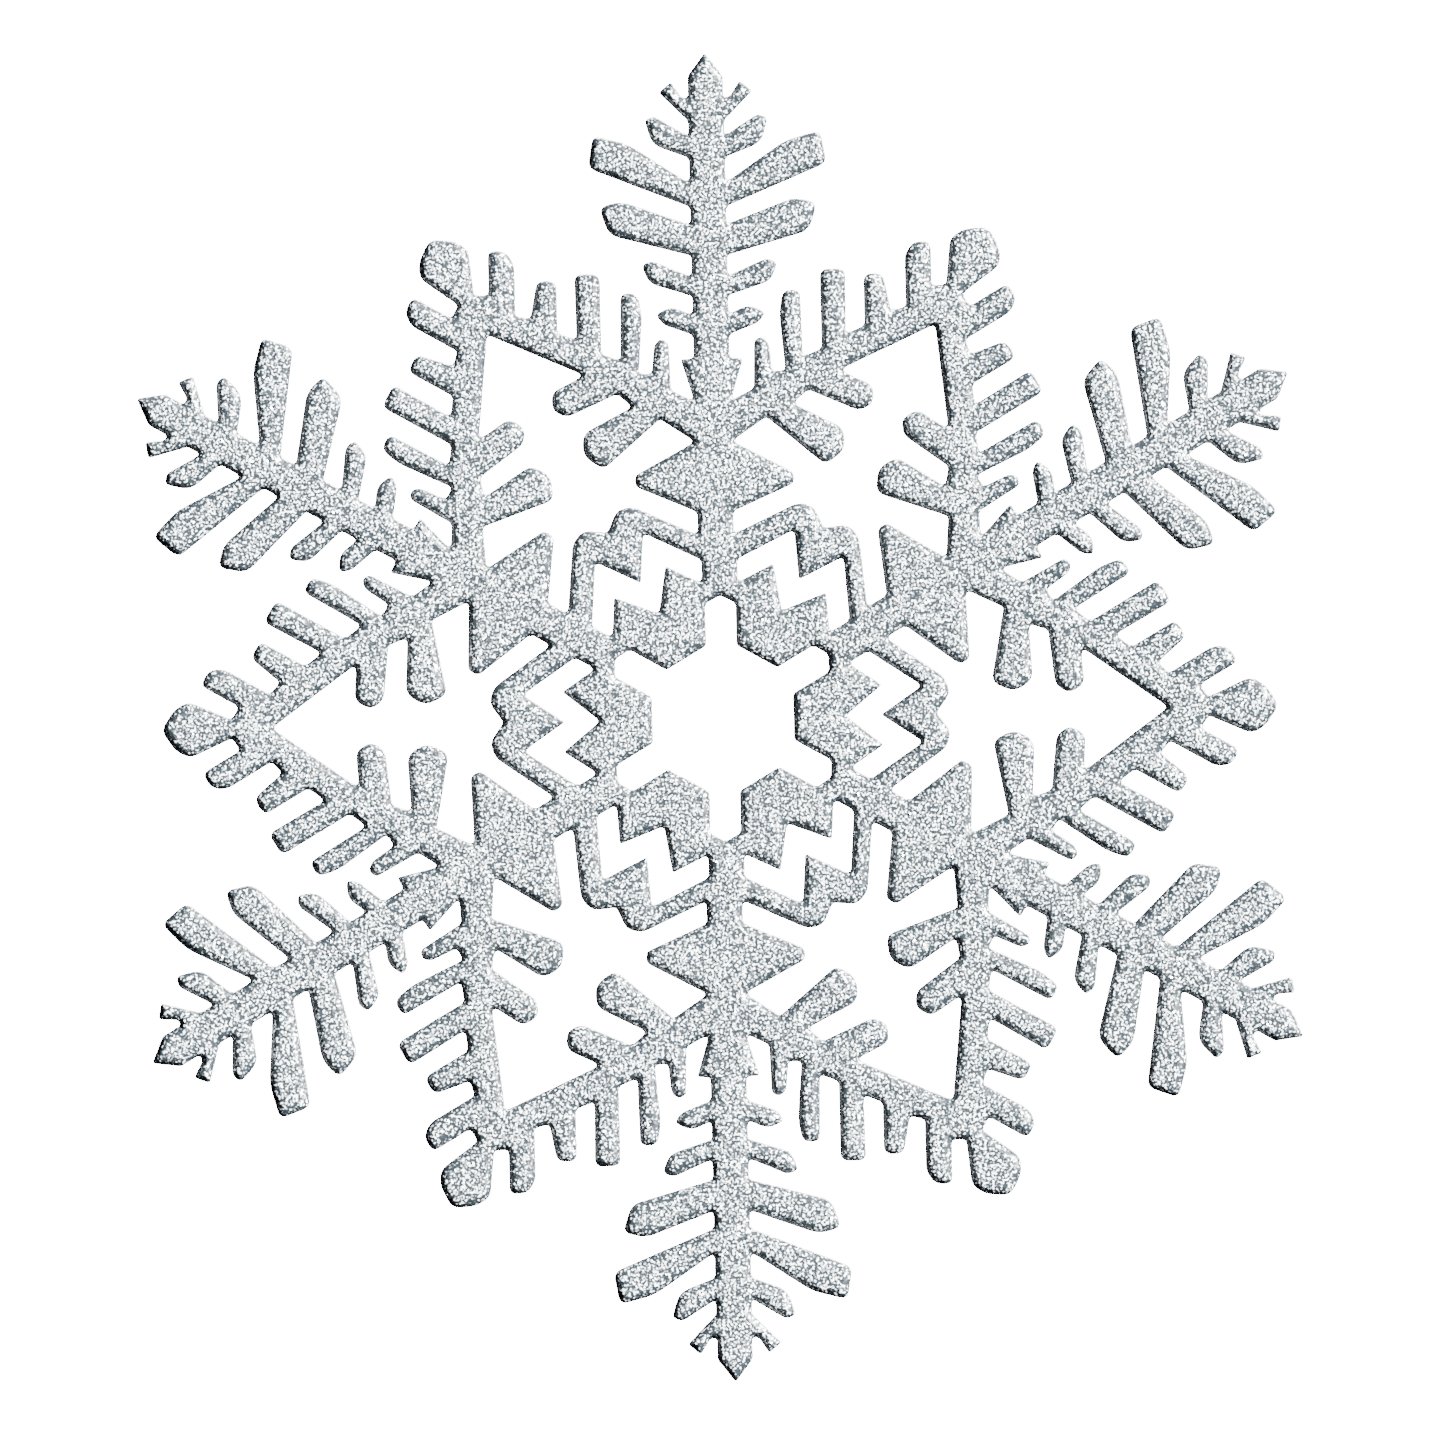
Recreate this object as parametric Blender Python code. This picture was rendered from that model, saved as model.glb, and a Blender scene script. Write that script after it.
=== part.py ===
"""Paper snowflake star: a flat six-armed board, die-cut and glittered in front.

The star stands upright in the XZ plane. +Z runs along one arm, the glittered
front faces -Y and the plain paper back faces +Y. The origin is the centre of
the star, halfway through its thickness. Lengths are millimetres until the
meshes are made, which are in metres.
"""

import math

import bmesh
import bpy
from mathutils import Matrix

MM = 0.001

# Driving dimensions.
ARMS = 6
TIP_RADIUS = 150.0
STEM_HALF = 4.1
COAT = 0.6
EDGE_COAT = 1.0
CHAMFER = 1.2
LINER = 0.4
CORE = 2.4
GLUE_LINE = 0.3

THICKNESS = COAT + 2 * LINER + CORE + 3 * GLUE_LINE
BOARD_INSET = EDGE_COAT + GLUE_LINE
FRONT = -THICKNESS / 2
BACK = THICKNESS / 2
POCKET_OVERRUN = 1.0
TOUCHING = 0.01

# The right-hand half of the arm that points up, from the tip inward. Corners
# are (across, out): across from the arm's centre line, out from the centre.
TIP = ((4.0, 144.8), (4.0, 140.0), (5.4, 140.0))
TWIG = ((7.7, 143.6), (10.6, 141.2), (STEM_HALF, 134.6))

# Each leaf: where its upper edge leaves the stem, the corners of its outer end,
# and where its lower edge meets the stem again.
LEAVES = (
    (131.3, ((11.7, 136.0), (14.0, 135.1), (12.3, 129.4)), 126.3),
    (120.7, ((17.8, 129.9), (25.7, 131.9), (27.0, 124.5)), 115.2),
    (111.3, ((19.6, 117.0), (24.7, 115.6), (22.6, 109.3)), 104.2),
    (99.6, ((12.9, 103.4), (15.4, 102.4), (13.8, 98.2)), 95.1),
    (91.0, ((8.7, 93.0), (12.5, 91.2), (10.9, 88.9)), 86.3),
)
BARB = ((STEM_HALF, 81.1), (7.1, 81.0), (4.2, 71.5))

# Fingers along the outer side of the rail, from the stem to the knob.
FINGERS = (
    ((9.3, 74.1), (9.6, 85.0), (11.5, 85.8), (13.0, 84.3), (13.6, 77.9)),
    ((16.5, 78.0), (15.4, 91.2), (16.4, 96.1), (20.3, 96.2), (20.6, 81.0)),
    ((24.8, 82.7), (24.8, 100.6), (30.6, 100.7), (30.4, 85.9)),
    ((34.6, 87.7), (34.6, 99.3), (39.1, 99.4), (40.7, 90.9)),
    ((44.0, 91.7), (44.0, 103.5), (46.0, 106.3), (50.0, 106.4), (50.0, 96.4)),
)
KNOB = ((53.2, 96.5), (54.3, 106.9), (57.4, 108.9))
KNOB_RADIUS = 126.2

# The large opening behind each knob, as far as the knob's axis: the inner side
# of the rail, its two inner fingers, the diamond, the neck and the ring.
RAIL_APEX_RADIUS = 101.0
RAIL_NOTCH = (28.9, 77.8)
SMALL_FINGER = ((36.4, 74.1), (36.2, 69.9), (32.9, 68.4), (21.6, 73.4), (18.2, 70.5))
LARGE_FINGER = ((29.5, 64.7), (29.6, 59.6), (25.0, 56.4), (12.0, 67.5), (4.3, 62.3))
DIAMOND = ((18.0, 55.0), (17.9, 52.4), (STEM_HALF, 46.4))
RING_LINK = ((STEM_HALF, 41.4), (18.6, 48.1), (22.2, 47.3))
RING_NOTCH_RADIUS = 48.9

# The zigzag slot in the ring, between two arms.
SLOT_OUTER_RADIUS = 35.6
SLOT = ((17.0, 42.1), (STEM_HALF, 35.8), (STEM_HALF, 30.7), (12.2, 34.7))
SLOT_INNER_RADIUS = 27.8

# The star-shaped hole in the middle, a ray towards each arm.
RAY_TIP_RADIUS = 27.7
RAY_SIDE = ((3.4, 25.9), (3.4, 16.4))

# The slots and the middle hole sit a little off the arms' centre, (X, Z).
INNER_DRIFT = (0.65, -0.2)


def on_arm(radius):
    """The point of an arm's centre line at a radius."""
    return (0.0, radius)


def on_knob(radius):
    """The point of the knob's axis, halfway to the next arm, at a radius."""
    half_step = math.pi / ARMS
    return (radius * math.sin(half_step), radius * math.cos(half_step))


def across_knob(point):
    """Mirror a point in the knob's axis."""
    double_angle = 2 * (math.pi / 2 - math.pi / ARMS)
    cos, sin = math.cos(double_angle), math.sin(double_angle)
    x, z = point
    return (cos * x + sin * z, sin * x - cos * z)


def turned(point, step):
    """Turn a point clockwise by a number of arms."""
    angle = -2 * math.pi * step / ARMS
    cos, sin = math.cos(angle), math.sin(angle)
    x, z = point
    return (cos * x - sin * z, sin * x + cos * z)


def shifted(loop, offset):
    return [(x + offset[0], z + offset[1]) for x, z in loop]


def half_arm():
    """Corners of the rim from beside an arm's tip to beside the knob."""
    corners = [*TIP, *TWIG]
    for upper_root, outer_end, lower_root in LEAVES:
        corners += [(STEM_HALF, upper_root), *outer_end, (STEM_HALF, lower_root)]
    corners += BARB
    for finger in FINGERS:
        corners += finger
    return corners + [*KNOB]


def rim():
    """The outer outline, clockwise from the tip of the arm that points up."""
    half = half_arm()
    sector = [on_arm(TIP_RADIUS), *half, on_knob(KNOB_RADIUS)]
    sector += [across_knob(point) for point in reversed(half)]
    return [turned(point, step) for step in range(ARMS) for point in sector]


def knob_opening(outer_radius, half, inner_radius):
    """A closed opening that the knob's axis divides evenly, anticlockwise."""
    loop = [on_knob(outer_radius), *half, on_knob(inner_radius)]
    return loop + [across_knob(point) for point in reversed(half)]


def middle_hole():
    """The star-shaped hole, anticlockwise."""
    sector = [on_arm(RAY_TIP_RADIUS), *RAY_SIDE]
    sector += [across_knob(point) for point in reversed(RAY_SIDE)]
    loop = [turned(point, step) for step in range(ARMS) for point in sector]
    return loop[::-1]


def outlines():
    """The rim and every opening. The board lies on the right of each one."""
    large = [RAIL_NOTCH, *SMALL_FINGER, *LARGE_FINGER, *DIAMOND, *RING_LINK]
    opening = knob_opening(RAIL_APEX_RADIUS, large, RING_NOTCH_RADIUS)
    slot = knob_opening(SLOT_OUTER_RADIUS, SLOT, SLOT_INNER_RADIUS)
    loops = [rim()]
    for step in range(ARMS):
        loops.append([turned(point, step) for point in opening])
        loops.append(shifted([turned(point, step) for point in slot], INNER_DRIFT))
    loops.append(shifted(middle_hole(), INNER_DRIFT))
    return loops


def right_normal(start, end):
    """Unit normal on the right of an edge."""
    run, rise = end[0] - start[0], end[1] - start[1]
    length = math.hypot(run, rise)
    return (rise / length, -run / length)


def inset(loop, depth):
    """Move each edge of an outline into the board by a depth, mitred."""
    moved = []
    for index, (x, z) in enumerate(loop):
        before = right_normal(loop[index - 1], (x, z))
        after = right_normal((x, z), loop[(index + 1) % len(loop)])
        sum_x, sum_z = before[0] + after[0], before[1] + after[1]
        reach = 2 * depth / (sum_x ** 2 + sum_z ** 2)
        moved.append((x + reach * sum_x, z + reach * sum_z))
    return moved


def outline_curve(name, depth, front, back):
    """A filled 2D curve of the board's outline, from y = front to y = back."""
    curve = bpy.data.curves.new(name, "CURVE")
    curve.dimensions = "2D"
    curve.fill_mode = "BOTH"
    curve.extrude = (back - front) / 2 * MM
    for loop in outlines():
        corners = inset(loop, depth)
        spline = curve.splines.new("POLY")
        spline.points.add(len(corners) - 1)
        for point, (x, z) in zip(spline.points, corners):
            point.co = (x * MM, z * MM, 0.0, 1.0)
        spline.use_cyclic_u = True
    holder = bpy.data.objects.new(name + "_outline", curve)
    holder.rotation_euler = (math.pi / 2, 0.0, 0.0)
    holder.location = (0.0, (front + back) / 2 * MM, 0.0)
    return holder


def layer(name, collection, depth, front, back):
    """A closed plate of the board's outline, inset by a depth."""
    holder = outline_curve(name, depth, front, back)
    collection.objects.link(holder)
    bpy.context.view_layer.update()
    evaluated = holder.evaluated_get(bpy.context.evaluated_depsgraph_get())
    mesh = bpy.data.meshes.new_from_object(evaluated)
    mesh.name = name
    plate = bpy.data.objects.new(name, mesh)
    plate.matrix_world = holder.matrix_world
    bpy.data.objects.remove(holder)
    collection.objects.link(plate)
    weld(mesh)
    return plate


def weld(mesh):
    """Join the caps to the side walls."""
    edit = bmesh.new()
    edit.from_mesh(mesh)
    bmesh.ops.remove_doubles(edit, verts=edit.verts, dist=TOUCHING * MM)
    edit.to_mesh(mesh)
    edit.free()


def spread_back(mesh, depth):
    """Move the back corners of a plate inset by a depth out to the outline."""
    moved = {}
    for loop in outlines():
        for (x, z), target in zip(inset(loop, depth), loop):
            moved[round(x, 2), round(z, 2)] = target
    for vertex in mesh.vertices:
        if vertex.co.z < 0:
            x, z = moved[round(vertex.co.x / MM, 2), round(vertex.co.y / MM, 2)]
            vertex.co.x, vertex.co.y = x * MM, z * MM


def stack(lower, upper, joint):
    """Join two plates that meet at y = joint into one closed plate, in place of the lower."""
    offset = lower.location.y - upper.location.y
    upper.data.transform(Matrix.Translation((0.0, 0.0, offset)))
    edit = bmesh.new()
    edit.from_mesh(lower.data)
    edit.from_mesh(upper.data)
    level = lower.location.y - joint * MM
    between = [face for face in edit.faces
               if all(abs(vertex.co.z - level) < TOUCHING * MM for vertex in face.verts)]
    bmesh.ops.delete(edit, geom=between, context="FACES")
    bmesh.ops.remove_doubles(edit, verts=edit.verts, dist=TOUCHING * MM)
    edit.to_mesh(lower.data)
    edit.free()
    bpy.data.objects.remove(upper)


def make_collection(name):
    collection = bpy.data.collections.new(name)
    bpy.context.scene.collection.children.link(collection)
    return collection


def paint(target, color, roughness, metallic):
    """Give an object a material of its own."""
    material = bpy.data.materials.new(target.name)
    material.use_nodes = True
    shader = material.node_tree.nodes["Principled BSDF"]
    shader.inputs["Base Color"].default_value = (*color, 1.0)
    shader.inputs["Roughness"].default_value = roughness
    shader.inputs["Metallic"].default_value = metallic
    target.data.materials.clear()
    target.data.materials.append(material)


def make_back_liner(parts):
    """The plain paper on the back."""
    liner = layer("back_liner", parts, BOARD_INSET, BACK - LINER, BACK)
    paint(liner, (0.88, 0.88, 0.86), 0.85, 0.0)


def make_core(parts):
    """The foam sheet that stiffens the star."""
    core_back = BACK - LINER - GLUE_LINE
    core = layer("foam_core", parts, BOARD_INSET, core_back - CORE, core_back)
    paint(core, (0.92, 0.92, 0.90), 0.95, 0.0)


def make_front_liner(parts):
    """The paper between the foam and the glitter."""
    liner_front = FRONT + COAT + GLUE_LINE
    liner = layer("front_liner", parts, BOARD_INSET, liner_front, liner_front + LINER)
    paint(liner, (0.88, 0.88, 0.86), 0.85, 0.0)


def make_glitter_coat(parts, cutters):
    """The glitter: a skin over the front and round the edges, open behind."""
    shoulder = FRONT + CHAMFER
    coat = layer("glitter_coat", parts, 0.0, shoulder, BACK)
    slope = layer("coat_slope", parts, CHAMFER, FRONT, shoulder)
    spread_back(slope.data, CHAMFER)
    stack(coat, slope, shoulder)
    pocket = layer("coat_pocket", cutters, EDGE_COAT, FRONT + COAT, BACK + POCKET_OVERRUN)
    pocket.hide_render = True
    pocket.display_type = "WIRE"
    cut = coat.modifiers.new("pocket", "BOOLEAN")
    cut.operation = "DIFFERENCE"
    cut.object = pocket
    paint(coat, (0.80, 0.83, 0.85), 0.35, 0.4)


def main():
    for item in list(bpy.data.objects):
        bpy.data.objects.remove(item)
    parts = make_collection("paper_snowflake_star")
    cutters = make_collection("cutters")
    make_back_liner(parts)
    make_core(parts)
    make_front_liner(parts)
    make_glitter_coat(parts, cutters)


main()
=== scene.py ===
"""Looks for the paper snowflake star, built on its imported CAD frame.

The star stands upright in the XZ plane with its glittered front towards -Y.
The glitter coat is rebuilt as one closed, rough skin with round edges, and
loose flakes are set on it. The paper and foam keep their CAD shapes.
Outlines are worked out in millimetres as (x, z) and made into metres last.
Lengths below are in millimetres unless a comment says otherwise.
"""

import math
import random

import bmesh
import bpy
import numpy as np
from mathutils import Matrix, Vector
from mathutils.geometry import delaunay_2d_cdt
from mathutils.kdtree import KDTree


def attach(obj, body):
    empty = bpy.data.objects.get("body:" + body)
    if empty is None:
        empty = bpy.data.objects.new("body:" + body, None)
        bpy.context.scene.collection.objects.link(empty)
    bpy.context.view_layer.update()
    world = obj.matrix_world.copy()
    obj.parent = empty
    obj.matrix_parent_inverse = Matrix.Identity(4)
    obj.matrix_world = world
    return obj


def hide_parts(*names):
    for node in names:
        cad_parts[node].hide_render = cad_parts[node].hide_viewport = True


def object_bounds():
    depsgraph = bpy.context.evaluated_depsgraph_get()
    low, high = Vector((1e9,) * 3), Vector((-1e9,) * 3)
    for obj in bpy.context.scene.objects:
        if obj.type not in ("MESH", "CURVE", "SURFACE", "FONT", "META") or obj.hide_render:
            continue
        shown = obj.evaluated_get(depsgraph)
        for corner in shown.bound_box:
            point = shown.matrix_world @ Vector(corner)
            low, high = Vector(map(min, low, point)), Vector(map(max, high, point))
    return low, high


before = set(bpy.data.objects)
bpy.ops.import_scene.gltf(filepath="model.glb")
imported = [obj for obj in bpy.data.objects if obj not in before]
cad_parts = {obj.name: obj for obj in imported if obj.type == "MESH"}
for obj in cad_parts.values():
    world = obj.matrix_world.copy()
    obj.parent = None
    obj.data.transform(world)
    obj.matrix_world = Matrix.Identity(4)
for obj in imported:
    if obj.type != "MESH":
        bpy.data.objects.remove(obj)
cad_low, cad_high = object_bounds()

MM = 0.001
SEED = 20

FRONT = cad_low.y / MM
BACK = cad_high.y / MM

# Reading the CAD coat's back rim. WELD and LEVEL are in metres.
WELD = 1e-6
LEVEL = 1e-5
FACING_BACK = 0.99
MIN_EDGE = 1e-4
MIN_TURN = math.radians(0.5)

# Rounding the outline. A corner's reach is how far its arc runs along each edge.
# Acute corners, and those near the middle or the tips, stay crisp.
STRAIGHT = math.radians(172)
ACUTE = math.radians(75)
MAX_REACH = 2.5
MAX_SHARE = 0.45
ROUND_DEPTH = 0.48
CRISP_REACH = 0.45
CRISP_INSIDE = 46.0
CRISP_OUTSIDE = 137.0
NOOK_RADIUS = 0.9
NOOK_SHARE = 0.3
ARC_PER_REACH = 1.6
RIM_STEP = 0.68
SAME_POINT = 1e-5

# The coat's front: rings of points along the outline, then a loose grid.
SURFACE = FRONT + 0.20
EDGE_RADIUS = 2.05
RING_DEPTHS = (0.28, 0.68, 1.16, 1.70)
RING_WOBBLE = 0.04
RING_ROOM = 0.85
GRID_PITCH = 0.92
GRID_START = 2.1
GRID_WOBBLE = 0.2
GRID_HEIGHT = 160
GRID_COLUMNS = 190
MIN_GAP = 0.36
BUMP = 0.055

# The coat's walls, and the pocket behind it that holds the board.
WALL_ROWS = 2
WALL_SINK = 0.1
WALL_WOBBLE = 0.12
# Painted shade on the walls, the rim behind and the pocket, as a share of the edge's.
WALL_PAINTED_SHADE = 0.4
POCKET_INSET = 1.25
POCKET_CEILING = FRONT + 0.85

# Loose flakes. Few lie on the edges, and those lie flatter.
FLAKES = 21000
FLAKE_PIECES = 3
FLAKE_RADIUS = (0.17, 0.30)
FLAKE_THICKNESS = 0.05
FLAKE_LIFT = 0.05
FLAKE_SIDES = 6
LEAST_PULL = 0.2
FLAKE_TILT = 0.42
EDGE_TILT = 0.08
EDGE_SHARE = 0.15
FLAT_ENOUGH = -0.97

# How much each pattern weighs in its material, and the floor in metres.
GRAIN_SHARE = 0.22
# Painted shade: the glitter is drawn darker near its edges, for the shade on the round edge.
EDGE_PAINTED_SHADE = 0.10
FIBRE_SHARE = 0.6
PAPER_SHADE = 0.86
FLOOR_SIZE = 12.0
FLOOR_DROP = 0.02

# The camera, in metres and radians.
CAMERA_WIDTH = 0.3259
CAMERA_DISTANCE = 1.5
CAMERA_LEAN = math.radians(1.345)
CAMERA_RIGHT = 0.00052
CAMERA_UP = -0.00114


def coat_loops(coat):
    """Loops round the coat's back rim, (x, z) in mm, the rim on their left from the front."""
    edit = bmesh.new()
    edit.from_mesh(coat.data)
    bmesh.ops.remove_doubles(edit, verts=edit.verts, dist=WELD)
    edit.normal_update()
    rim = [
        face for face in edit.faces
        if face.normal.y > FACING_BACK and min(v.co.y for v in face.verts) > cad_high.y - LEVEL
    ]
    # The walk goes by the list, because a set's order changes from run to run.
    on_rim = set(rim)
    following = {}
    for face in rim:
        for loop in face.loops:
            if not any(other in on_rim for other in loop.edge.link_faces if other is not face):
                following[loop.link_loop_next.vert] = loop.vert
    loops = []
    while following:
        start, vert = following.popitem()
        loop = [start]
        while vert is not start:
            loop.append(vert)
            vert = following.pop(vert)
        loops.append([Vector((v.co.x / MM, v.co.z / MM)) for v in loop])
    edit.free()
    return loops


def signed_area(loop):
    """The area that a loop bounds, positive where it runs anticlockwise."""
    return sum(loop[i - 1].cross(loop[i]) for i in range(len(loop))) / 2


def outline_of(loops):
    """The rim and the holes, without the loops round the pocket."""
    anticlockwise = sorted((loop for loop in loops if signed_area(loop) > 0), key=signed_area)
    clockwise = sorted((loop for loop in loops if signed_area(loop) < 0), key=signed_area)
    return [anticlockwise[-1], *clockwise[1:]]


def cleaned(loop):
    """Leave out points on straight runs."""
    kept = []
    for i, point in enumerate(loop):
        before, after = point - loop[i - 1], loop[(i + 1) % len(loop)] - point
        if before.length > MIN_EDGE and before.angle(after, 0.0) > MIN_TURN:
            kept.append(point)
    return kept


def rounded(loop):
    """An outline with its corners rounded, stepped to about RIM_STEP."""
    arcs = []
    for i, corner in enumerate(loop):
        back, ahead = loop[i - 1] - corner, loop[(i + 1) % len(loop)] - corner
        angle = back.angle(ahead)
        shorter = min(back.length, ahead.length)
        if angle > STRAIGHT:
            arcs.append([corner])
            continue
        if ahead.cross(back) > 0:
            reach = min(MAX_SHARE * shorter, MAX_REACH, 4 * ROUND_DEPTH / math.sin(angle))
            if angle < ACUTE or not CRISP_INSIDE < corner.length < CRISP_OUTSIDE:
                reach = min(reach, CRISP_REACH)
        else:
            reach = min(NOOK_SHARE * shorter, NOOK_RADIUS / math.tan(angle / 2))
        start, end = corner + back.normalized() * reach, corner + ahead.normalized() * reach
        steps = max(1, round(ARC_PER_REACH * reach / RIM_STEP))
        arcs.append([
            start * (1 - t) ** 2 + corner * 2 * t * (1 - t) + end * t ** 2
            for t in (step / steps for step in range(steps + 1))
        ])
    points = []
    for i, arc in enumerate(arcs):
        points += arc
        gap = arcs[(i + 1) % len(arcs)][0] - arc[-1]
        steps = math.ceil(gap.length / RIM_STEP)
        points += [arc[-1] + gap * (step / steps) for step in range(1, steps)]
    return points


def left_normals(loop):
    """Unit normals into the board at each point of an outline."""
    normals = []
    for i in range(len(loop)):
        run = (loop[(i + 1) % len(loop)] - loop[i - 1]).normalized()
        normals.append(Vector((-run.y, run.x)))
    return normals


def mitred(loop, depth):
    """Move each edge of an outline into the board by a depth."""
    moved = []
    for i, point in enumerate(loop):
        before = (point - loop[i - 1]).normalized()
        after = (loop[(i + 1) % len(loop)] - point).normalized()
        total = Vector((-before.y - after.y, before.x + after.x))
        moved.append(point + total * (2 * depth / total.length_squared))
    return moved


def inside(points, loops):
    """Which of the points lie in the board, by counting crossings."""
    order = np.argsort(points[:, 1])
    x, z = points[order, 0], points[order, 1]
    odd = np.zeros(len(points), bool)
    for loop in loops:
        for i in range(len(loop)):
            (x0, z0), (x1, z1) = sorted((loop[i - 1], loop[i]), key=lambda p: p[1])
            if z0 == z1:
                continue
            low, high = np.searchsorted(z, (z0, z1))
            cross = x0 + (x1 - x0) * (z[low:high] - z0) / (z1 - z0)
            odd[low:high] ^= x[low:high] < cross
    result = np.zeros(len(points), bool)
    result[order] = odd
    return result


def tree_of(points):
    """A search tree of (x, z) points."""
    tree = KDTree(len(points))
    for i, (x, z) in enumerate(points):
        tree.insert((x, z, 0.0), i)
    tree.balance()
    return tree


def depth_finder(loops):
    """A function that gives how far a point is from the outline."""
    dense = []
    for loop in loops:
        for i in range(len(loop)):
            for t in (0.0, 0.25, 0.5, 0.75):
                dense.append(loop[i - 1].lerp(loop[i], t))
    tree = tree_of(dense)
    return lambda point: tree.find((point[0], point[1], 0.0))[2]


def surface_points(loops, depth_at, rng):
    """Points between the outlines: rings that follow them, then a loose grid."""
    taken = {}
    points = []

    def try_add(point, gap):
        cell = (int(point[0] // 1), int(point[1] // 1))
        for a in (-1, 0, 1):
            for b in (-1, 0, 1):
                for other in taken.get((cell[0] + a, cell[1] + b), ()):
                    if math.dist(point, other) < gap:
                        return
        taken.setdefault(cell, []).append(point)
        points.append(point)

    for ring in RING_DEPTHS:
        for loop in loops:
            for point, normal in zip(loop, left_normals(loop)):
                moved = point + normal * (ring + rng.uniform(-RING_WOBBLE, RING_WOBBLE))
                if depth_at(moved) > RING_ROOM * ring:
                    try_add((moved.x, moved.y), MIN_GAP)
    rise = GRID_PITCH * math.sqrt(3) / 2
    rows = int(GRID_HEIGHT / rise)
    grid = []
    for row in range(-rows, rows + 1):
        shift = (row % 2) * GRID_PITCH / 2
        for column in range(-GRID_COLUMNS, GRID_COLUMNS + 1):
            x = column * GRID_PITCH + shift + rng.uniform(-GRID_WOBBLE, GRID_WOBBLE)
            grid.append((x, row * rise + rng.uniform(-GRID_WOBBLE, GRID_WOBBLE)))
    grid = np.array(grid)
    for x, z in grid[inside(grid, loops)].tolist():
        if depth_at((x, z)) > GRID_START:
            try_add((x, z), MIN_GAP)
    return points


def triangulated(loops, extra):
    """Triangles between loops. The loops' points come first, in order."""
    points = [tuple(p) for loop in loops for p in loop]
    edges, start = [], 0
    for loop in loops:
        count = len(loop)
        edges += [(start + i, start + (i + 1) % count) for i in range(count)]
        start += count
    points += extra
    result = delaunay_2d_cdt([Vector(p) for p in points], edges, [], 0, SAME_POINT)
    origin = [source[0] for source in result[3]]
    faces = [[origin[i] for i in face] for face in result[2]]
    centres = np.array([np.mean([points[i] for i in face], axis=0) for face in faces])
    return points, faces, centres


def make_object(name, verts, faces):
    """A mesh object from points in millimetres."""
    mesh = bpy.data.meshes.new(name)
    mesh.from_pydata([tuple(c * MM for c in v) for v in verts], [], faces)
    mesh.validate()
    made = bpy.data.objects.new(name, mesh)
    bpy.context.scene.collection.objects.link(made)
    return made


def round_edge(depth):
    """How far the front falls back near the outline."""
    if depth >= EDGE_RADIUS:
        return 0.0
    return EDGE_RADIUS - math.sqrt(EDGE_RADIUS ** 2 - (EDGE_RADIUS - depth) ** 2)


def make_front(loops, rng):
    """The rough front with its round edge, and how near the edge each point is, which sets the
    painted shade there.
    """
    depth_at = depth_finder(loops)
    points, faces, centres = triangulated(loops, surface_points(loops, depth_at, rng))
    faces = [face for face, kept in zip(faces, inside(centres, loops)) if kept]
    rim_count = sum(map(len, loops))
    verts, edge = [], []
    for i, (x, z) in enumerate(points):
        depth = 0.0 if i < rim_count else depth_at((x, z))
        bump = 0.0 if i < rim_count else rng.uniform(-BUMP, BUMP)
        verts.append((x, SURFACE + round_edge(depth) + bump, z))
        edge.append(max(0.0, 1.0 - depth / EDGE_RADIUS))
    return verts, faces, edge


def add_walls(verts, faces, loops, rng):
    """Walls from the round edge to the back. Gives the first point of each row."""
    rim = [point for loop in loops for point in loop]
    normals = [normal for loop in loops for normal in left_normals(loop)]
    top = SURFACE + EDGE_RADIUS
    rows = [0]
    for row in range(1, WALL_ROWS + 1):
        rows.append(len(verts))
        y = top + (BACK - top) * row / WALL_ROWS
        for point, normal in zip(rim, normals):
            sink = rng.uniform(0.0, WALL_SINK) if row < WALL_ROWS else 0.0
            wobble = rng.uniform(-WALL_WOBBLE, WALL_WOBBLE) if sink else 0.0
            verts.append((point.x + normal.x * sink, y + wobble, point.y + normal.y * sink))
    start = 0
    for loop in loops:
        for i in range(len(loop)):
            a, b = start + i, start + (i + 1) % len(loop)
            for near, far in zip(rows, rows[1:]):
                faces.append([near + b, near + a, far + a, far + b])
        start += len(loop)
    return rows


def add_back(verts, faces, loops, cad_loops, back_row):
    """The rim behind, and the pocket for the board."""
    pocket = [mitred(loop, POCKET_INSET) for loop in cad_loops]
    points, rim_faces, centres = triangulated(loops + pocket, [])
    rim_count = sum(map(len, loops))
    corners = points[rim_count:]
    mouth = len(verts)
    verts += [(x, BACK, z) for x, z in corners]
    ceiling = len(verts)
    verts += [(x, POCKET_CEILING, z) for x, z in corners]
    number = [*range(back_row, back_row + rim_count), *range(mouth, ceiling)]
    on_rim = inside(centres, loops) & ~inside(centres, pocket)
    for face, kept in zip(rim_faces, on_rim):
        if kept:
            faces.append([number[i] for i in reversed(face)])
    start = 0
    for loop in pocket:
        for i in range(len(loop)):
            a, b = start + i, start + (i + 1) % len(loop)
            faces.append([mouth + a, mouth + b, ceiling + b, ceiling + a])
        start += len(loop)
    _, ceiling_faces, centres = triangulated(pocket, [])
    for face, kept in zip(ceiling_faces, inside(centres, pocket)):
        if kept:
            faces.append([ceiling + i for i in reversed(face)])


def make_coat(cad_loops, rng):
    """The glitter coat as one closed skin. Gives it and its number of outer faces."""
    loops = [rounded(loop) for loop in cad_loops]
    verts, faces, edge = make_front(loops, rng)
    rows = add_walls(verts, faces, loops, rng)
    outer_faces = len(faces)
    add_back(verts, faces, loops, cad_loops, rows[-1])
    coat = make_object("glitter_skin", verts, faces)
    # The walls, the rim behind and the pocket all get the same painted shade.
    edge += [WALL_PAINTED_SHADE] * (len(verts) - len(edge))
    coat.data.attributes.new("edge", "FLOAT", "POINT").data.foreach_set("value", edge)
    return coat, outer_faces


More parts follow.
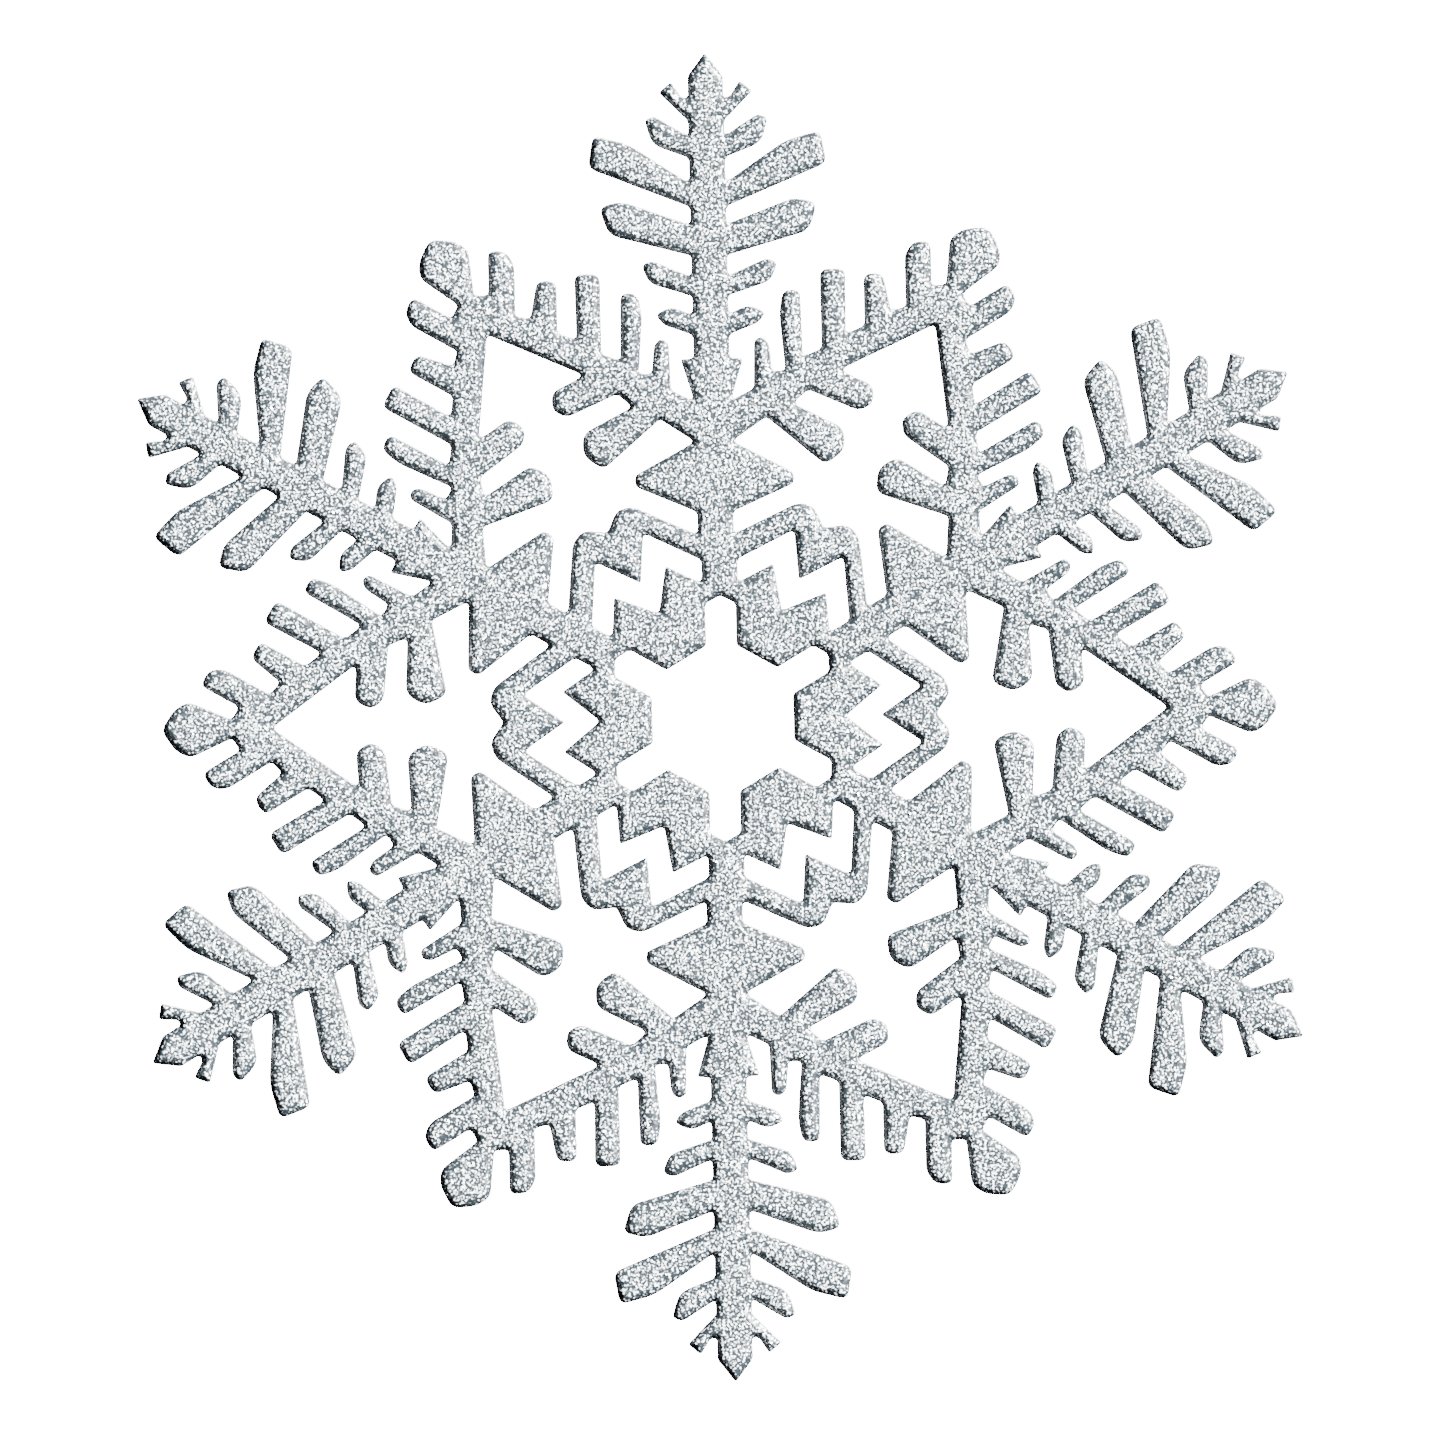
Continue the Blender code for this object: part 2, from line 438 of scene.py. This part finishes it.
def flake_points(centre, up, radius, turn):
    """Corners of a flake's upper face, then of its lower face."""
    across = up.orthogonal().normalized()
    along = up.cross(across)
    points = []
    for lift in (FLAKE_THICKNESS / 2, -FLAKE_THICKNESS / 2):
        for side in range(FLAKE_SIDES):
            angle = turn + side * math.tau / FLAKE_SIDES
            out = across * math.cos(angle) + along * math.sin(angle)
            points.append(centre + out * radius + up * lift)
    return points


def flake_faces(start):
    """Faces of a flake whose points begin at start."""
    top = list(range(start, start + FLAKE_SIDES))
    faces = [top, [i + FLAKE_SIDES for i in reversed(top)]]
    for side in range(FLAKE_SIDES):
        a, b = start + side, start + (side + 1) % FLAKE_SIDES
        faces.append([b, a, a + FLAKE_SIDES, b + FLAKE_SIDES])
    return faces


def make_flakes(coat, face_count, rng):
    """Thin closed flakes lying at small random tilts on the coat's front and edges."""
    mesh = coat.data
    outer = [mesh.polygons[i] for i in range(face_count)]
    weights = [f.area * (1.0 if f.normal.y < FLAT_ENOUGH else EDGE_SHARE) for f in outer]
    chosen = rng.choices(outer, weights=weights, k=FLAKES)
    low, high = np.array(cad_low) / MM, np.array(cad_high) / MM
    flakes = []
    for piece in range(FLAKE_PIECES):
        verts, faces, tones = [], [], []
        for face in chosen[piece::FLAKE_PIECES]:
            corners = [mesh.vertices[i].co / MM for i in face.vertices]
            pulls = [rng.random() + LEAST_PULL for _ in corners]
            centre = sum((c * pull for c, pull in zip(corners, pulls)), Vector()) / sum(pulls)
            slack = FLAKE_TILT if face.normal.y < FLAT_ENOUGH else EDGE_TILT
            tilt = Vector([rng.uniform(-slack, slack) for _ in range(3)])
            up = (face.normal + tilt).normalized()
            radius = rng.uniform(*FLAKE_RADIUS)
            turn = rng.uniform(0.0, math.tau)
            faces += flake_faces(len(verts))
            points = flake_points(centre + up * FLAKE_LIFT, up, radius, turn)
            verts += np.clip(points, low, high).tolist()
            tones += [rng.random()] * len(points)
        flake = make_object(f"glitter_flakes_{piece + 1}", verts, faces)
        flake.data.attributes.new("flake_tone", "FLOAT", "POINT").data.foreach_set("value", tones)
        flakes.append(flake)
    return flakes


def new_material(name):
    """A material, its node tree and its shader."""
    material = bpy.data.materials.new(name)
    material.use_nodes = True
    tree = material.node_tree
    return material, tree, tree.nodes["Principled BSDF"]


def add(tree, kind, **values):
    """A node with its properties and its input values set."""
    node = tree.nodes.new(kind)
    for key, value in values.items():
        if hasattr(node, key):
            setattr(node, key, value)
        else:
            node.inputs[key.replace("_", " ")].default_value = value
    return node


def ramp(tree, source, stops):
    """A colour ramp over a value, from its (position, colour) stops."""
    node = tree.nodes.new("ShaderNodeValToRGB")
    elements = node.color_ramp.elements
    while len(elements) < len(stops):
        elements.new(0.5)
    for element, (position, color) in zip(elements, stops):
        element.position = position
        element.color = (*color, 1.0)
    tree.links.new(source, node.inputs["Fac"])
    return node


def glitter_skin_material():
    """Packed glitter: pale grains with small grey-teal gaps, with painted shade near the edges.
    """
    material, tree, shader = new_material("glitter_skin")
    coords = add(tree, "ShaderNodeTexCoord").outputs["Object"]
    worms = add(tree, "ShaderNodeTexNoise", Scale=1800.0, Detail=0.0)
    grain = add(tree, "ShaderNodeTexVoronoi", Scale=1300.0)
    tree.links.new(coords, worms.inputs["Vector"])
    tree.links.new(coords, grain.inputs["Vector"])
    mixed = add(tree, "ShaderNodeMath", operation="MULTIPLY_ADD")
    tree.links.new(grain.outputs["Distance"], mixed.inputs[0])
    mixed.inputs[1].default_value = GRAIN_SHARE
    tree.links.new(worms.outputs["Fac"], mixed.inputs[2])
    edge = add(tree, "ShaderNodeAttribute", attribute_name="edge")
    # Painted shade: the pattern is darkened near the edges, so the tones there come out darker.
    edge_shaded = add(tree, "ShaderNodeMath", operation="MULTIPLY_ADD")
    tree.links.new(edge.outputs["Fac"], edge_shaded.inputs[0])
    edge_shaded.inputs[1].default_value = -EDGE_PAINTED_SHADE
    tree.links.new(mixed.outputs[0], edge_shaded.inputs[2])
    tones = ramp(tree, edge_shaded.outputs[0], (
        (0.55, (0.010, 0.014, 0.017)),
        (0.625, (0.036, 0.046, 0.054)),
        (0.69, (0.15, 0.178, 0.196)),
        (0.785, (0.94, 0.98, 1.0)),
    ))
    tree.links.new(tones.outputs["Color"], shader.inputs["Base Color"])
    bump = add(tree, "ShaderNodeBump", Strength=0.3, Distance=0.0001)
    tree.links.new(mixed.outputs[0], bump.inputs["Height"])
    tree.links.new(bump.outputs["Normal"], shader.inputs["Normal"])
    shader.inputs["Roughness"].default_value = 0.34
    shader.inputs["Metallic"].default_value = 0.1
    return material


def flake_material():
    """Silvered polyester flakes, each with a tone of its own."""
    material, tree, shader = new_material("glitter_flakes")
    tone = add(tree, "ShaderNodeAttribute", attribute_name="flake_tone")
    tones = ramp(tree, tone.outputs["Fac"], (
        (0.0, (0.04, 0.05, 0.055)),
        (0.3, (0.17, 0.195, 0.21)),
        (0.6, (0.70, 0.755, 0.79)),
        (1.0, (0.93, 0.98, 1.0)),
    ))
    tree.links.new(tones.outputs["Color"], shader.inputs["Base Color"])
    coords = add(tree, "ShaderNodeTexCoord").outputs["Object"]
    haze = add(tree, "ShaderNodeTexNoise", Scale=2600.0, Detail=2.0)
    tree.links.new(coords, haze.inputs["Vector"])
    rough = add(tree, "ShaderNodeMapRange")
    rough.inputs["To Min"].default_value = 0.16
    rough.inputs["To Max"].default_value = 0.42
    tree.links.new(haze.outputs["Fac"], rough.inputs["Value"])
    tree.links.new(rough.outputs["Result"], shader.inputs["Roughness"])
    shader.inputs["Metallic"].default_value = 0.45
    return material


def paper_material(name, tone):
    """Uncoated white paper with fine fibres."""
    material, tree, shader = new_material(name)
    coords = add(tree, "ShaderNodeTexCoord").outputs["Object"]
    stretch = add(tree, "ShaderNodeMapping")
    stretch.inputs["Scale"].default_value = (1.0, 1.0, 0.35)
    tree.links.new(coords, stretch.inputs["Vector"])
    fibres = add(tree, "ShaderNodeTexNoise", Scale=2200.0, Detail=4.0, Roughness=0.65)
    clouds = add(tree, "ShaderNodeTexNoise", Scale=90.0, Detail=3.0)
    tree.links.new(stretch.outputs["Vector"], fibres.inputs["Vector"])
    tree.links.new(coords, clouds.inputs["Vector"])
    mixed = add(tree, "ShaderNodeMath", operation="MULTIPLY_ADD")
    tree.links.new(fibres.outputs["Fac"], mixed.inputs[0])
    mixed.inputs[1].default_value = FIBRE_SHARE
    tree.links.new(clouds.outputs["Fac"], mixed.inputs[2])
    dark = tuple(c * PAPER_SHADE for c in tone)
    tones = ramp(tree, mixed.outputs[0], ((0.55, dark), (0.95, tone)))
    tree.links.new(tones.outputs["Color"], shader.inputs["Base Color"])
    bump = add(tree, "ShaderNodeBump", Strength=0.35, Distance=0.00008)
    tree.links.new(fibres.outputs["Fac"], bump.inputs["Height"])
    tree.links.new(bump.outputs["Normal"], shader.inputs["Normal"])
    shader.inputs["Roughness"].default_value = 0.86
    return material


def foam_material():
    """Cut white foam with small closed cells."""
    material, tree, shader = new_material("cut_foam")
    coords = add(tree, "ShaderNodeTexCoord").outputs["Object"]
    cells = add(tree, "ShaderNodeTexVoronoi", Scale=3200.0)
    tree.links.new(coords, cells.inputs["Vector"])
    tones = ramp(tree, cells.outputs["Distance"], (
        (0.1, (0.93, 0.93, 0.91)),
        (0.75, (0.78, 0.78, 0.76)),
    ))
    tree.links.new(tones.outputs["Color"], shader.inputs["Base Color"])
    bump = add(tree, "ShaderNodeBump", Strength=0.5, Distance=0.0001)
    tree.links.new(cells.outputs["Distance"], bump.inputs["Height"])
    tree.links.new(bump.outputs["Normal"], shader.inputs["Normal"])
    shader.inputs["Roughness"].default_value = 0.95
    return material


def dress(item, material):
    """Give an object one material."""
    item.data.materials.clear()
    item.data.materials.append(material)


def make_floor():
    """A plain pale floor under the star."""
    height = cad_low.z - FLOOR_DROP
    bpy.ops.mesh.primitive_plane_add(size=FLOOR_SIZE, location=(0.0, 0.0, height))
    floor = bpy.context.object
    floor.name = "studio_floor"
    material, _, shader = new_material("floor")
    shader.inputs["Base Color"].default_value = (0.86, 0.86, 0.86, 1.0)
    shader.inputs["Roughness"].default_value = 0.9
    floor.data.materials.append(material)
    floor.visible_diffuse = False
    floor.visible_glossy = False


def sun(name, towards, strength, softness):
    """A soft directional light that shines from a direction."""
    data = bpy.data.lights.new(name, "SUN")
    data.energy = strength
    data.angle = math.radians(softness)
    lamp = bpy.data.objects.new(name, data)
    lamp.rotation_mode = "QUATERNION"
    lamp.rotation_quaternion = Vector(towards).to_track_quat("Z", "Y")
    bpy.context.scene.collection.objects.link(lamp)


def make_light():
    """A soft key from the upper right, light from above and behind, and a white surround."""
    sun("key", (0.726, -0.545, 0.419), 72.0, 8.0)
    sun("sparkle", (0.12, -1.0, 0.16), 0.35, 3.0)
    sun("top", (0.2, 0.5, 0.8), 4.0, 40.0)
    sun("rear", (0.35, 0.85, 0.35), 9.0, 40.0)
    world = bpy.data.worlds.new("studio")
    world.use_nodes = True
    tree = world.node_tree
    tree.nodes.clear()
    seen = add(tree, "ShaderNodeBackground", Color=(1, 1, 1, 1), Strength=30.0)
    fill = add(tree, "ShaderNodeBackground", Color=(0.92, 0.97, 1.0, 1.0), Strength=0.04)
    path = add(tree, "ShaderNodeLightPath")
    mix = add(tree, "ShaderNodeMixShader")
    out = add(tree, "ShaderNodeOutputWorld")
    tree.links.new(path.outputs["Is Camera Ray"], mix.inputs["Fac"])
    tree.links.new(fill.outputs[0], mix.inputs[1])
    tree.links.new(seen.outputs[0], mix.inputs[2])
    tree.links.new(mix.outputs[0], out.inputs["Surface"])
    bpy.context.scene.world = world


def make_camera():
    """A level camera square to the front, turned a little about its own axis."""
    right = Vector((math.cos(CAMERA_LEAN), 0.0, -math.sin(CAMERA_LEAN)))
    up = Vector((math.sin(CAMERA_LEAN), 0.0, math.cos(CAMERA_LEAN)))
    data = bpy.data.cameras.new("camera")
    data.type = "ORTHO"
    data.ortho_scale = CAMERA_WIDTH
    camera = bpy.data.objects.new("camera", data)
    camera.location = right * CAMERA_RIGHT + up * CAMERA_UP
    camera.location.y = -CAMERA_DISTANCE
    camera.rotation_euler = (math.pi / 2, CAMERA_LEAN, 0.0)
    bpy.context.scene.collection.objects.link(camera)
    bpy.context.scene.camera = camera


def main():
    """Build the coat and its flakes, then the looks, floor, light and camera."""
    rng = random.Random(SEED)
    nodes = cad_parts
    cad_loops = [cleaned(loop) for loop in outline_of(coat_loops(nodes["glitter_coat"]))]
    coat, outer_faces = make_coat(cad_loops, rng)
    dress(coat, glitter_skin_material())
    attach(coat, "root")
    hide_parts("glitter_coat")
    glint = flake_material()
    for flake in make_flakes(coat, outer_faces, rng):
        dress(flake, glint)
        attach(flake, "root")
    dress(nodes["back_liner"], paper_material("back_paper", (0.90, 0.90, 0.88)))
    dress(nodes["front_liner"], paper_material("front_paper", (0.88, 0.88, 0.86)))
    dress(nodes["foam_core"], foam_material())
    make_floor()
    make_light()
    make_camera()


main()
